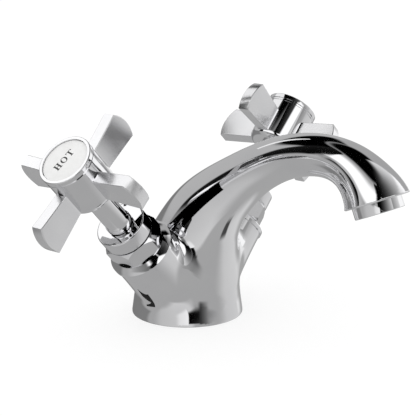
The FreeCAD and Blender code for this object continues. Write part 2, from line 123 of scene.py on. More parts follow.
# Body casting, how wide the arms melt into the trunk below and above, and the reach across an arm in which
# the one width goes over into the other
blend_below = 4.5
blend_above = 12.5
blend_turn = (-7.0, 3.0)
blend_fade = 14.0
blend_least_share = 0.15

# Body casting, underside
seal_groove_outer = 22.7
seal_groove_inner = 20.2
seal_groove_height = 2.0
inlet_offset = 9.0
inlet_radius = 4.5
stud_offset = 14.0
stud_radius = 3.4
fixing_depth = 12.0
hole_steps = 48

# Index discs' lettering: heights in millimetres, strokes and gaps as shares of the capitals' height
index_top = 107.9
letter_height = 3.5
letter_width = 0.86
letter_gap = 0.20
letter_stem = 0.20
letter_hair = 0.07
letter_serif = 0.10
letter_tip = 0.24
letter_turn = 13.5
letter_opening = 42.0
letter_lift = 0.9
letter_sink = 0.02
letter_depth = 0.03
letter_steps = 40

# Finishes: where the paddles' satin begins, out from the valve axis and up it, and how far polishing
# lines are drawn out along each axis
paddle_start = 12.6
paddle_foot = 82.0
hairline_stretch = (1.0, 0.05, 0.6)
drift_range = (0.35, 0.65)
drift_detail = 3
hairline_range = (0.60, 0.72)
hairline_detail = 2
relief_detail = 2

# Finishes by material slot: name, metallic, two colours, two roughnesses, the patches' size, the lines'
# size and added roughness, the relief's size and height, and the roughness added on the paddles
finish_values = {
    "chrome": (
        "polished chrome", 1, ((0.93, 0.93, 0.94), (0.90, 0.90, 0.915)), (0.02, 0.045),
        14.0, (0.5, 0.02), (9.0, 0.008), 0.18,
    ),
    "brass": (
        "bare brass", 1, ((0.80, 0.60, 0.30), (0.62, 0.44, 0.20)), (0.22, 0.38),
        6.0, (0.4, 0.15), (0.8, 0.03), 0.0,
    ),
    "steel": (
        "stainless steel", 1, ((0.62, 0.61, 0.60), (0.54, 0.53, 0.52)), (0.18, 0.30),
        4.0, (0.3, 0.20), (0.5, 0.01), 0.0,
    ),
    "rubber": (
        "black rubber", 0, ((0.018, 0.018, 0.018), (0.035, 0.034, 0.033)), (0.50, 0.72),
        3.0, (0.6, 0.05), (0.4, 0.04), 0.0,
    ),
    "ceramic": (
        "ceramic", 0, ((0.86, 0.84, 0.79), (0.78, 0.75, 0.69)), (0.12, 0.28),
        0.8, (0.3, 0.06), (0.3, 0.01), 0.0,
    ),
    "grey_plastic": (
        "grey plastic", 0, ((0.45, 0.45, 0.46), (0.39, 0.39, 0.40)), (0.35, 0.50),
        2.0, (0.5, 0.05), (0.35, 0.02), 0.0,
    ),
    "white_enamel": (
        "white enamel", 0, ((0.96, 0.96, 0.955), (0.92, 0.92, 0.912)), (0.10, 0.18),
        5.0, (0.6, 0.08), (1.6, 0.012), 0.0,
    ),
    "print": (
        "black print", 0, ((0.012, 0.012, 0.013), (0.03, 0.03, 0.03)), (0.30, 0.42),
        1.0, (0.4, 0.05), (0.5, 0.005), 0.0,
    ),
}

# Brass pieces that are shown in chrome
plated = ("hot_spindle", "cold_spindle")

# The colour mixer's sockets for the share and the two colours, and for its result
mixer_slots = (0, 6, 7)
mixer_result = 2

# Floor: half its width, the grey that takes the shadow, and the light it gives of itself
floor_half_width = 3000.0
floor_grey = 0.3
floor_glow = 0.74
white = (1, 1, 1, 1)
square = ((-1, -1), (1, -1), (1, 1), (-1, 1))

# Studio cards: middle, half width, lower, upper, edges left, right, lower, upper, greys left and right
studio_cards = (
    (180, 181, -91, 91, 0.1, 0.1, 0.1, 0.1, 0.65, 0.65),
    (12, 48, -75, 4, 25, 12, 30, 4, 0.72, 0.82),
    (150, 45, -85, 4, 30, 20, 30, 4, 0.76, 0.84),
    (-90, 48, -38, 8, 20, 12, 12, 2, 0.47, 0.50),
    (-158, 34, -15, 3, 8, 10, 5, 5, 0.93, 0.95),
    (124, 17, -73, -47, 7, 9, 9, 9, 0.30, 0.25),
    (180, 181, 58, 91, 0.1, 0.1, 8, 0.1, 0.0, 0.0),
    (-100, 55, 6, 38, 12, 8, 4, 6, 0.71, 0.70),
    (-92, 56, 34, 62, 10, 6, 5, 3, 0.02, 0.0),
    (-46, 11, 4, 60, 5, 2, 8, 3, 0.14, 0.05),
    (33, 12, 8, 62, 3, 1.5, 6, 3, 0.0, 0.0),
    (-4, 33, -2, 26, 2, 8, 10, 8, 0.75, 0.38),
    (-4, 33, 19, 58, 1.5, 9, 6, 14, 1.06, 1.04),
    (104, 68, 36, 80, 0.8, 6, 10, 14, 0.0, 0.90),
    (104, 68, 3, 46, 0.8, 6, 3, 10, 0.0, 1.08),
    (75, 31, 3, 26, 0.8, 3, 3, 6, 0.0, 0.86),
    (78, 36, 21, 47, 2, 14, 4, 5, 1.05, 1.05),
    (112, 68, -7, 5, 0.8, 6, 4, 2, 0.25, 1.08),
    (30, 14, -14, 6, 12, 0.8, 8, 3, 0.86, 0.96),
    (160, 20, -7, 16, 8, 8, 4, 8, 1.0, 1.0),
    (76, 14, -11, 4, 8, 10, 5, 2, 0.12, 0.58),
    (58, 14, -7, 4, 0.8, 8, 4, 2, 0.0, 0.15),
)
card_slots = (
    "Middle", "Half Width", "Lower", "Upper", "Left Edge", "Right Edge", "Lower Edge", "Upper Edge",
    "Left Grey", "Right Grey",
)
display_gamma = 2.2

# Near cards: middle, half of one side, half of the other, grey, and the reach past which reflections look
# through them. The first two light the handles' fronts, the third darkens the spout's flank over the crotch,
# and the last is a dark sheet under the hot arm, painted shade that puts the floor's contact shadow into
# reflections.
near_cards = (
    ((-106.0, -100.3, 186.3), (13.5, -50.2, 0.0), (34.2, 9.2, 38.0), 1.1, 184.0),
    ((-91.7, 42.2, 198.9), (14.2, -43.7, 0.0), (33.5, 10.9, 28.9), 0.9, 184.0),
    ((12.0, -27.0, 54.0), (9.9, 0.0, 9.2), (-4.8, 0.0, 5.1), 0.0, 24.0),
    ((-15.0, -26.8, -12.0), (9.0, -2.8, 0.0), (0.6, 1.8, 0.0), 0.02, 44.0),
)

# How finely the casting is drawn
net_step = 0.8
line_step = 0.1
round_steps = 6

# The casting's finishes: chrome outside, and bare brass where it is drilled or cored
outside = 0
drilled = 1


def place_camera():
    """The camera looks at the target from an azimuth counted from -Y towards +X, and an elevation."""
    azimuth = math.radians(camera_azimuth)
    elevation = math.radians(camera_elevation)
    away = Vector((
        math.sin(azimuth) * math.cos(elevation),
        -math.cos(azimuth) * math.cos(elevation),
        math.sin(elevation),
    ))
    data = bpy.data.cameras.new("camera")
    data.lens = camera_lens
    data.sensor_width = camera_sensor
    data.sensor_fit = "AUTO"
    camera = bpy.data.objects.new("camera", data)
    camera.location = mm * (Vector(camera_target) + camera_distance * away)
    camera.rotation_euler = (-away).to_track_quat("-Z", "Y").to_euler()
    bpy.context.scene.collection.objects.link(camera)
    bpy.context.scene.camera = camera


def smoothing_group():
    """Merges a node's loose triangles and shades them smooth, but for the edges past the angle."""
    group = bpy.data.node_groups.new("smooth by angle", "GeometryNodeTree")
    group.interface.new_socket("Geometry", in_out="INPUT", socket_type="NodeSocketGeometry")
    group.interface.new_socket("Geometry", in_out="OUTPUT", socket_type="NodeSocketGeometry")
    make = group.nodes.new
    source = make("NodeGroupInput")
    result = make("NodeGroupOutput")
    merge = make("GeometryNodeMergeByDistance")
    merge.inputs["Distance"].default_value = mm * weld_distance
    angle = make("GeometryNodeInputMeshEdgeAngle")
    sharp = make("FunctionNodeCompare")
    sharp.operation = "GREATER_THAN"
    sharp.inputs["B"].default_value = math.radians(smooth_angle)
    faces = make("GeometryNodeSetShadeSmooth")
    faces.domain = "FACE"
    edges = make("GeometryNodeSetShadeSmooth")
    edges.domain = "EDGE"
    edges.inputs["Shade Smooth"].default_value = False
    link = group.links.new
    link(source.outputs["Geometry"], merge.inputs["Geometry"])
    link(merge.outputs["Geometry"], faces.inputs["Geometry"])
    link(faces.outputs["Geometry"], edges.inputs["Geometry"])
    link(angle.outputs["Unsigned Angle"], sharp.inputs["A"])
    link(sharp.outputs["Result"], edges.inputs["Selection"])
    link(edges.outputs["Geometry"], result.inputs["Geometry"])
    return group


def effect(name, inputs, output, kind):
    """An empty group of shader nodes with the given value inputs and one output."""
    group = bpy.data.node_groups.new(name, "ShaderNodeTree")
    for slot in inputs:
        group.interface.new_socket(slot, in_out="INPUT", socket_type="NodeSocketFloat")
    group.interface.new_socket(output, in_out="OUTPUT", socket_type=kind)
    return group, group.nodes.new("NodeGroupInput").outputs, group.nodes.new("NodeGroupOutput").inputs[0]


def calculator(tree):
    """A function that adds one step of arithmetic to a tree of nodes and gives its result."""
    def calculate(operation, *values):
        node = tree.nodes.new("ShaderNodeMath")
        node.operation = operation
        for slot, value in zip(node.inputs, values):
            if isinstance(value, (int, float)):
                slot.default_value = value
            else:
                tree.links.new(value, slot)
        return node.outputs[0]
    return calculate


def scaled_place(group, size, stretch=(1.0, 1.0, 1.0)):
    """The place on the object in steps of the size, drawn out along the axes with a stretch below one."""
    calculate = calculator(group)
    place = group.nodes.new("ShaderNodeTexCoord").outputs["Object"]
    drawn = group.nodes.new("ShaderNodeVectorMath")
    drawn.operation = "MULTIPLY"
    drawn.inputs[1].default_value = stretch
    group.links.new(place, drawn.inputs[0])
    scaled = group.nodes.new("ShaderNodeVectorMath")
    scaled.operation = "SCALE"
    group.links.new(drawn.outputs[0], scaled.inputs[0])
    group.links.new(calculate("DIVIDE", 1 / mm, size), scaled.inputs["Scale"])
    return scaled.outputs[0]


def noise(group, place, detail):
    """A soft random value at the place, with the given number of finer layers."""
    node = group.nodes.new("ShaderNodeTexNoise")
    node.inputs["Scale"].default_value = 1
    node.inputs["Detail"].default_value = detail
    group.links.new(place, node.inputs["Vector"])
    return node.outputs[0]


def drift_effect():
    """A mask that wanders between zero and one over patches of the size."""
    group, inputs, output = effect("drift", ("Size",), "Mask", "NodeSocketFloat")
    spread = group.nodes.new("ShaderNodeMapRange")
    spread.inputs["From Min"].default_value = drift_range[0]
    spread.inputs["From Max"].default_value = drift_range[1]
    wander = noise(group, scaled_place(group, inputs["Size"]), drift_detail)
    group.links.new(wander, spread.inputs["Value"])
    group.links.new(spread.outputs[0], output)
    return group


def hairline_effect():
    """A mask of fine drawn-out lines left by polishing and handling."""
    group, inputs, output = effect("hairlines", ("Size",), "Mask", "NodeSocketFloat")
    place = scaled_place(group, inputs["Size"], hairline_stretch)
    narrow = group.nodes.new("ShaderNodeMapRange")
    narrow.inputs["From Min"].default_value = hairline_range[0]
    narrow.inputs["From Max"].default_value = hairline_range[1]
    group.links.new(noise(group, place, hairline_detail), narrow.inputs["Value"])
    group.links.new(narrow.outputs[0], output)
    return group


def relief_effect():
    """A normal roughened by waves of the size and height."""
    group, inputs, output = effect("relief", ("Size", "Height"), "Normal", "NodeSocketVector")
    bump = group.nodes.new("ShaderNodeBump")
    height = calculator(group)("MULTIPLY", inputs["Height"], mm)
    group.links.new(height, bump.inputs["Distance"])
    waves = noise(group, scaled_place(group, inputs["Size"]), relief_detail)
    group.links.new(waves, bump.inputs["Height"])
    group.links.new(bump.outputs[0], output)
    return group


def paddle_effect():
    """A mask of the handles' paddles: one where the place is beyond the hub's radius from the valve axis and
    above the neck, on either valve."""
    group, inputs, output = effect("paddles", ("Radius", "Height"), "Mask", "NodeSocketFloat")
    calculate = calculator(group)
    split = group.nodes.new("ShaderNodeSeparateXYZ")
    group.links.new(group.nodes.new("ShaderNodeTexCoord").outputs["Object"], split.inputs[0])
    lean = math.radians(valve_lean)
    forward = calculate("SUBTRACT", split.outputs["X"], mm * valve_forward)
    aside = calculate("ABSOLUTE", split.outputs["Y"])
    lift = calculate("SUBTRACT", split.outputs["Z"], mm * valve_crossing_height)
    rise = calculate(
        "ADD", calculate("MULTIPLY", aside, math.sin(lean)), calculate("MULTIPLY", lift, math.cos(lean))
    )
    across = calculate(
        "SUBTRACT", calculate("MULTIPLY", aside, math.cos(lean)), calculate("MULTIPLY", lift, math.sin(lean))
    )
    distance = calculate("SQRT", calculate(
        "ADD", calculate("MULTIPLY", forward, forward), calculate("MULTIPLY", across, across)
    ))
    beyond = calculate("GREATER_THAN", distance, calculate("MULTIPLY", inputs["Radius"], mm))
    above = calculate("GREATER_THAN", rise, calculate("MULTIPLY", inputs["Height"], mm))
    group.links.new(calculate("MULTIPLY", beyond, above), output)
    return group


def use(tree, group, **values):
    """The result of a group of nodes used in a tree with the given values."""
    node = tree.nodes.new("ShaderNodeGroup")
    node.node_tree = group
    for name, value in values.items():
        node.inputs[name].default_value = value
    return node.outputs[0]


def mix_colours(tree, share, first, second):
    """Two colours, each a fixed one or a node's result, mixed by a share from zero to one."""
    node = tree.nodes.new("ShaderNodeMix")
    node.data_type = "RGBA"
    for slot, value in zip(mixer_slots, (share, first, second)):
        if isinstance(value, tuple):
            node.inputs[slot].default_value = value
        else:
            tree.links.new(value, node.inputs[slot])
    return node.outputs[mixer_result]


def finish(name, metallic, colours, roughness, drift, lines, relief, satin):
    """A finish whose colour and roughness drift between two values over patches, with fine lines that are
    rougher, a shallow relief, and a satin share on the paddles.

    drift is the patches' size, lines the lines' size and added roughness, relief its size and height."""
    material = bpy.data.materials.new(name)
    material.use_nodes = True
    tree = material.node_tree
    shader = tree.nodes["Principled BSDF"]
    shader.inputs["Metallic"].default_value = metallic
    calculate = calculator(tree)
    mask = use(tree, effects["drift"], Size=drift)
    mixed = mix_colours(tree, mask, (*colours[0], 1), (*colours[1], 1))
    tree.links.new(mixed, shader.inputs["Base Color"])
    rough = calculate("MULTIPLY_ADD", mask, roughness[1] - roughness[0], roughness[0])
    rough = calculate("MULTIPLY_ADD", use(tree, effects["hairlines"], Size=lines[0]), lines[1], rough)
    if satin:
        paddles = use(tree, effects["paddles"], Radius=paddle_start, Height=paddle_foot)
        rough = calculate("MULTIPLY_ADD", paddles, satin, rough)
    tree.links.new(rough, shader.inputs["Roughness"])
    tree.links.new(use(tree, effects["relief"], Size=relief[0], Height=relief[1]), shader.inputs["Normal"])
    return material


def card_group():
    """A studio card as a soft-edged patch of directions: grey outside it, and inside it a ramp from its
    left grey to its right grey."""
    group = bpy.data.node_groups.new("studio card", "ShaderNodeTree")
    group.interface.new_socket("Under", in_out="INPUT", socket_type="NodeSocketColor")
    for name in ("Azimuth", "Elevation", *card_slots):
        group.interface.new_socket(name, in_out="INPUT", socket_type="NodeSocketFloat")
    group.interface.new_socket("Colour", in_out="OUTPUT", socket_type="NodeSocketColor")
    get = group.nodes.new("NodeGroupInput").outputs
    result = group.nodes.new("NodeGroupOutput")
    calculate = calculator(group)

    def rise(value, start, width):
        """Zero up to the start, one past the width, and a smooth S between."""
        node = group.nodes.new("ShaderNodeMapRange")
        node.interpolation_type = "SMOOTHSTEP"
        group.links.new(value, node.inputs["Value"])
        group.links.new(start, node.inputs["From Min"])
        group.links.new(calculate("ADD", start, width), node.inputs["From Max"])
        return node.outputs["Result"]

    turn = calculate("WRAP", calculate("SUBTRACT", get["Azimuth"], get["Middle"]), 180.0, -180.0)
    side = calculate("MULTIPLY", get["Half Width"], -1.0)
    left = rise(turn, side, get["Left Edge"])
    right = rise(calculate("MULTIPLY", turn, -1.0), side, get["Right Edge"])
    lower = rise(get["Elevation"], get["Lower"], get["Lower Edge"])
    drop = calculate("MULTIPLY", get["Elevation"], -1.0)
    upper = rise(drop, calculate("MULTIPLY", get["Upper"], -1.0), get["Upper Edge"])
    mask = calculate("MULTIPLY", calculate("MULTIPLY", left, right), calculate("MULTIPLY", lower, upper))
    width = calculate("MULTIPLY", get["Half Width"], 2.0)
    share = calculate("DIVIDE", calculate("ADD", turn, get["Half Width"]), width)
    climb = calculate("SUBTRACT", get["Right Grey"], get["Left Grey"])
    ramp = calculate("ADD", get["Left Grey"], calculate("MULTIPLY", share, climb))
    grey = calculate("POWER", calculate("MAXIMUM", ramp, 0.0), display_gamma)
    colour = group.nodes.new("ShaderNodeCombineColor")
    for slot in colour.inputs:
        group.links.new(grey, slot)
    group.links.new(mix_colours(group, mask, get["Under"], colour.outputs[0]), result.inputs[0])
    return group


def mirror_rays(tree, path):
    """One for rays that come off a reflection or through a clear solid, and zero for the others."""
    return calculator(tree)("MAXIMUM", path.outputs["Is Glossy Ray"], path.outputs["Is Transmission Ray"])


def light_world():
    """The studio round the object: reflections see its cards, and all else sees plain white."""
    world = bpy.data.worlds.new("studio")
    bpy.context.scene.world = world
    world.use_nodes = True
    tree = world.node_tree
    tree.nodes.clear()
    make = tree.nodes.new
    link = tree.links.new
    calculate = calculator(tree)
    split = make("ShaderNodeSeparateXYZ")
    link(make("ShaderNodeTexCoord").outputs["Generated"], split.inputs[0])
    towards = calculate("MULTIPLY", split.outputs["Y"], -1.0)
    azimuth = calculate("DEGREES", calculate("ARCTAN2", split.outputs["X"], towards))
    elevation = calculate("DEGREES", calculate("ARCSINE", split.outputs["Z"]))
    group = card_group()
    colour = None
    for values in studio_cards:
        card = make("ShaderNodeGroup")
        card.node_tree = group
        link(azimuth, card.inputs["Azimuth"])
        link(elevation, card.inputs["Elevation"])
        for name, value in zip(card_slots, values):
            card.inputs[name].default_value = value
        if colour is not None:
            link(colour, card.inputs["Under"])
        colour = card.outputs["Colour"]
    reflected = make("ShaderNodeBackground")
    link(colour, reflected.inputs["Color"])
    plain = make("ShaderNodeBackground")
    plain.inputs["Color"].default_value = white
    path = make("ShaderNodeLightPath")
    mix = make("ShaderNodeMixShader")
    link(mirror_rays(tree, path), mix.inputs[0])
    link(plain.outputs[0], mix.inputs[1])
    link(reflected.outputs[0], mix.inputs[2])
    seen = make("ShaderNodeMixShader")
    link(path.outputs["Is Camera Ray"], seen.inputs[0])
    link(mix.outputs[0], seen.inputs[1])
    link(plain.outputs[0], seen.inputs[2])
    link(seen.outputs[0], make("ShaderNodeOutputWorld").inputs["Surface"])


def flat_card(name, corners):
    """A flat card of the studio, and the emptied nodes of its own material."""
    mesh = bpy.data.meshes.new(name)
    mesh.from_pydata(corners, [], [(0, 1, 2, 3)])
    card = bpy.data.objects.new(name, mesh)
    bpy.context.scene.collection.objects.link(card)
    material = bpy.data.materials.new(name)
    material.use_nodes = True
    material.node_tree.nodes.clear()
    mesh.materials.append(material)
    return card, material.node_tree


def hang_card(number, middle, side, other_side, grey, reach):
    """A flat card close to the object that only reflections from within its reach see."""
    middle, side, other_side = (Vector(values) for values in (middle, side, other_side))
    corners = [mm * (middle + right * side + top * other_side) for right, top in square]
    card, tree = flat_card(f"card_{number}", corners)
    make = tree.nodes.new
    link = tree.links.new
    calculate = calculator(tree)
    path = make("ShaderNodeLightPath")
    clear = make("ShaderNodeBsdfTransparent")
    glow = make("ShaderNodeEmission")
    glow.inputs["Strength"].default_value = grey
    mix = make("ShaderNodeMixShader")
    near = calculate("LESS_THAN", path.outputs["Ray Length"], mm * reach)
    link(calculate("MULTIPLY", path.outputs["Is Glossy Ray"], near), mix.inputs[0])
    link(clear.outputs[0], mix.inputs[1])
    link(glow.outputs[0], mix.inputs[2])
    link(mix.outputs[0], make("ShaderNodeOutputMaterial").inputs["Surface"])


def lay_floor():
    """A pale floor that takes the object's soft shadow and that reflections look through."""
    size = mm * floor_half_width
    floor, tree = flat_card("floor", [(right * size, top * size, 0) for right, top in square])
    make = tree.nodes.new
    link = tree.links.new
    path = make("ShaderNodeLightPath")
    clear = make("ShaderNodeBsdfTransparent")
    shade = make("ShaderNodeBsdfDiffuse")
    shade.inputs["Color"].default_value = (floor_grey, floor_grey, floor_grey, 1)
    glow = make("ShaderNodeEmission")
    glow.inputs["Strength"].default_value = floor_glow
    pale = make("ShaderNodeAddShader")
    link(shade.outputs[0], pale.inputs[0])
    link(glow.outputs[0], pale.inputs[1])
    seen = make("ShaderNodeMixShader")
    link(path.outputs["Is Camera Ray"], seen.inputs[0])
    link(shade.outputs[0], seen.inputs[1])
    link(pale.outputs[0], seen.inputs[2])
    mix = make("ShaderNodeMixShader")
    link(mirror_rays(tree, path), mix.inputs[0])
    link(seen.outputs[0], mix.inputs[1])
    link(clear.outputs[0], mix.inputs[2])
    link(mix.outputs[0], make("ShaderNodeOutputMaterial").inputs["Surface"])


def ease(value, low, high):
    """Zero below low, one above high, and a smooth S between."""
    share = np.clip((value - low) / (high - low), 0, 1)
    return share * share * (3 - 2 * share)


def smooth_slopes(knots, values, start, end):
    """Slopes at the knots of the cubic curve through the values whose bend never jumps."""
    gap = np.diff(knots)
    step = np.diff(values, axis=0) / gap[:, None]
    inner = np.arange(1, len(knots) - 1)
    matrix = np.zeros((len(knots), len(knots)))
    matrix[inner, inner - 1] = gap[1:]
    matrix[inner, inner] = 2 * (gap[:-1] + gap[1:])
    matrix[inner, inner + 1] = gap[:-1]
    matrix[0, 0] = matrix[-1, -1] = 1
    middle = 3 * (gap[:-1, None] * step[1:] + gap[1:, None] * step[:-1])
    return np.linalg.solve(matrix, np.vstack([start, middle, end]))


def spout_stations():
    """Rows of forward, height and radius from the foot over the crest to the outlet."""
    flare, rise, fall = (np.array(shares) for shares in (flare_shares, rise_shares, fall_shares))
    foot = (
        0 * flare[:, 0],
        foot_edge_height + (neck_height - foot_edge_height) * flare[:, 0],
        neck_radius + (foot_radius - neck_radius) * flare[:, 1],
    )
    up = (
        crest_forward * rise[:, 0],
        neck_height + (crest_height - neck_height) * rise[:, 1],
        crest_radius + (neck_radius - crest_radius) * rise[:, 2],
    )
    down = (
        crest_forward + (outlet_forward - crest_forward) * fall[:, 0],
        outlet_height + (crest_height - outlet_height) * fall[:, 1],
        crest_radius + (outlet_radius - crest_radius) * fall[:, 2],
    )
    return np.concatenate([np.stack(part, axis=1) for part in (foot, up, down)])


def spout_centreline():
    """Close rows of forward, height, radius and unit tangent along the smooth cubic curve through the
    stations: each span is the sum of its ends and end slopes times the four cubic weights of the share t."""
    points = spout_stations()
    chord = np.hypot(*np.diff(points[:, :2], axis=0).T)
    knots = np.concatenate([[0], np.cumsum(chord)])
    droop = math.radians(outlet_droop)
    start = (0, 1, (points[1, 2] - points[0, 2]) / chord[0])
    end = (math.cos(droop), -math.sin(droop), (points[-1, 2] - points[-2, 2]) / chord[-1])
    slopes = smooth_slopes(knots, points, start, end)
    place = np.linspace(0, knots[-1], int(knots[-1] / line_step))
    span = np.clip(np.searchsorted(knots, place) - 1, 0, len(knots) - 2)
    gap = np.diff(knots)[span][:, None]
    t = (place - knots[span])[:, None] / gap
    ends = (points[span], points[span + 1], slopes[span] * gap, slopes[span + 1] * gap)
    weights = (2 * t**3 - 3 * t**2 + 1, 3 * t**2 - 2 * t**3, t**3 - 2 * t**2 + t, t**3 - t**2)
    changes = (6 * t**2 - 6 * t, 6 * t - 6 * t**2, 3 * t**2 - 4 * t + 1, 3 * t**2 - 2 * t)
    curve = sum(weight * end for weight, end in zip(weights, ends))
    slope = sum(change * end for change, end in zip(changes, ends))[:, :2]
    return np.hstack([curve, slope / np.hypot(*slope.T)[:, None]])


def nearest_row(flat, line):
    """The row of the centreline that is nearest to each point of the middle plane, to a few rows."""
    stride = 8
    batch = 20000
    coarse = line[::stride, :2]
    near = np.empty(len(flat), dtype=np.int64)
    for low in range(0, len(flat), batch):
        part = flat[low:low + batch]
        gap = (part[:, None, 0] - coarse[:, 0]) ** 2 + (part[:, None, 1] - coarse[:, 1]) ** 2
        near[low:low + batch] = stride * np.argmin(gap, axis=1)
    return near


def beside_line(flat, near, line):
    """How far each point of the middle plane lies beside the centreline, and the spout's radius there:
    the foot of the perpendicular is found by sliding along the tangent from a row close by."""
    slides = 4
    last = len(line) - 1
    gap = np.hypot(*np.diff(line[:, :2], axis=0).T).mean()
    place = near.astype(float)
    for _ in range(slides):
        low = np.clip(np.floor(place).astype(np.int64), 0, last - 1)
        share = (place - low)[:, None]
        row = line[low] * (1 - share) + line[low + 1] * share
        away = flat - row[:, :2]
        place = np.clip(place + (away * row[:, 3:]).sum(axis=1) / gap, 0, last)
    return away[:, 0] * row[:, 4] - away[:, 1] * row[:, 3], row[:, 2]


def melt(first, second, width):
    """The lesser of two fields, rounded off by the cube of their likeness where they differ by less than
    the width, so that no crease is left."""
    near = np.clip(1 - np.abs(first - second) / width, 0, 1)
    return np.minimum(first, second) - near**3 * width / 6


def body_field(x, y, z, beside, radius):
    """About the distance outside the casting: round sections square to the spout's centreline, melted
    into two leaning arms whose radius is the parabola through its three given radii."""
    lean = math.radians(valve_lean)
    bend = np.polyfit(*zip(arm_root, arm_middle, arm_end), 2)
    forward = x - valve_forward
    lift = z - valve_crossing_height
    droop = math.radians(outlet_droop)
    past = (x - outlet_forward) * math.cos(droop) - (z - outlet_height) * math.sin(droop)
    field = np.sqrt(y**2 + beside**2) - radius
    field = np.maximum(field, np.where(x > crest_forward, past - outlet_overrun, field))
    for side in (-1, 1):
        rise = side * y * math.sin(lean) + lift * math.cos(lean)
        across = side * y * math.cos(lean) - lift * math.sin(lean)
        arm = np.sqrt(forward**2 + across**2) - np.polyval(bend, np.clip(rise, arm_root[0], arm_end[0]))
        arm = np.maximum(arm, arm_root[0] - rise)
        arm = np.maximum(arm, rise - arm_end[0] - arm_overrun)
        width = blend_below + (blend_above - blend_below) * ease(-across, *blend_turn)
        fade = ease(arm_end[0] - rise, 0, blend_fade)
        field = melt(field, arm, width * (blend_least_share + (1 - blend_least_share) * fade))
    return field


def field_at(points, near, line):
    """The casting's field at points, each with a row of the centreline close by."""
    beside, radius = beside_line(points[:, [0, 2]], near, line)
    return body_field(*points.T, beside, radius)


def slope_at(points, near, line):
    """The field's slope, from its change over a short step each way along each axis."""
    reach = 0.01
    change = [
        field_at(points + reach * axis, near, line) - field_at(points - reach * axis, near, line)
        for axis in np.eye(3)
    ]
    return np.stack(change, axis=1) / (2 * reach)


def body_net(line):
    """A net over the surface where the field is zero: one point for each cell of a grid that the surface
    crosses, at the mean of its crossings, with a four-sided face round each crossed edge of the grid.
    The points then slide down the field's slope onto the surface itself."""
    margin = 3 * net_step
    low = np.array([-foot_radius, -arm_end[0], 0]) - margin
    high = np.array([outlet_forward + 2 * outlet_radius, arm_end[0], crest_height + outlet_radius]) + margin
    axes = [np.arange(start, stop, net_step) for start, stop in zip(low, high)]
    forward, height = np.meshgrid(axes[0], axes[2], indexing="ij")
    flat = np.stack([forward.ravel(), height.ravel()], axis=1)
    beside, radius = (
        part.reshape(forward.shape)[:, None, :] for part in beside_line(flat, nearest_row(flat, line), line)
    )
    field = body_field(axes[0][:, None, None], axes[1][None, :, None], axes[2], beside, radius)
    inside = field < 0
    corners = np.array(np.meshgrid((0, 1), (0, 1), (0, 1), indexing="ij")).reshape(3, -1).T
    limit = np.array(inside.shape) - 1
    count = np.zeros(limit, dtype=np.int8)
    for corner in corners:
        count += inside[tuple(slice(start, start + size) for start, size in zip(corner, limit))]
    cells = np.argwhere((count > 0) & (count < len(corners)))
    number = np.full(limit, -1)
    number[tuple(cells.T)] = np.arange(len(cells))

    total = np.zeros((len(cells), 3))
    hits = np.zeros((len(cells), 1))
    faces = []
    for axis in range(3):
        step = np.eye(3, dtype=int)[axis]
        for corner in corners[corners[:, axis] == 0]:
            here = field[tuple((cells + corner).T)]
            there = field[tuple((cells + corner + step).T)]
            crossed = (here < 0) != (there < 0)
            share = np.where(crossed, here / np.where(crossed, here - there, 1), 0)
            total += (corner + share[:, None] * step) * crossed[:, None]
            hits += crossed[:, None]
        here = inside[tuple(slice(0, -1) if n == axis else slice(1, -1) for n in range(3))]
        there = inside[tuple(slice(1, None) if n == axis else slice(1, -1) for n in range(3))]
        edges = np.argwhere(here != there)
        leaving = here[tuple(edges.T)][:, None]
        edges = edges + 1 - step
        first, second = (np.eye(3, dtype=int)[(axis + turn) % 3] for turn in (1, 2))
        round_edge = (edges - first - second, edges - second, edges, edges - first)
        quads = np.stack([number[tuple(cell.T)] for cell in round_edge], axis=1)
        faces.append(np.where(leaving, quads, quads[:, ::-1]))

    slides = 4
    points = (cells + total / hits) * net_step + low
    near = nearest_row(points[:, [0, 2]], line)
    for _ in range(slides):
        slope = slope_at(points, near, line)
        points -= slope * (field_at(points, near, line) / (slope**2).sum(axis=1))[:, None]
    return points, np.concatenate(faces)


def strip(first, second, first_normals, second_normals, slot=outside):
    """A closed band of four-sided faces between two rings with as many points each."""
    count = len(first)
    here = np.arange(count)
    ahead = np.roll(here, -1)
    faces = np.stack([here, ahead, ahead + count, here + count], axis=1)
    points = np.concatenate([first, second])
    normals = np.concatenate([first_normals, second_normals])
    return facing(points, faces, normals, slot)


def facing(points, faces, normals, slot):
    """A patch whose faces look the way its normals do; normals are given for each point."""
    across = points[faces[:, 2]] - points[faces[:, 0]]
    along = points[faces[:, -1]] - points[faces[:, 1]]
    if (np.cross(across, along) * normals[faces[:, 0]]).sum() < 0:
        faces = faces[:, ::-1]
    return points, faces, normals[faces], slot


def fan(ring, middle, away, slot=outside):
    """A flat disc of triangles from a ring to its middle."""
    here = np.arange(len(ring))
    faces = np.stack([here, np.roll(here, -1), np.full(len(ring), len(ring))], axis=1)
    return facing(np.vstack([ring, middle]), faces, np.tile(away, (len(ring) + 1, 1)), slot)


def circle(middle, radius, steps):
    """Points round a level circle, and the directions out from its middle."""
    turn = 2 * math.pi * np.arange(steps) / steps
    outward = np.stack([np.cos(turn), np.sin(turn), 0 * turn], axis=1)
    return np.array(middle) + radius * outward, outward


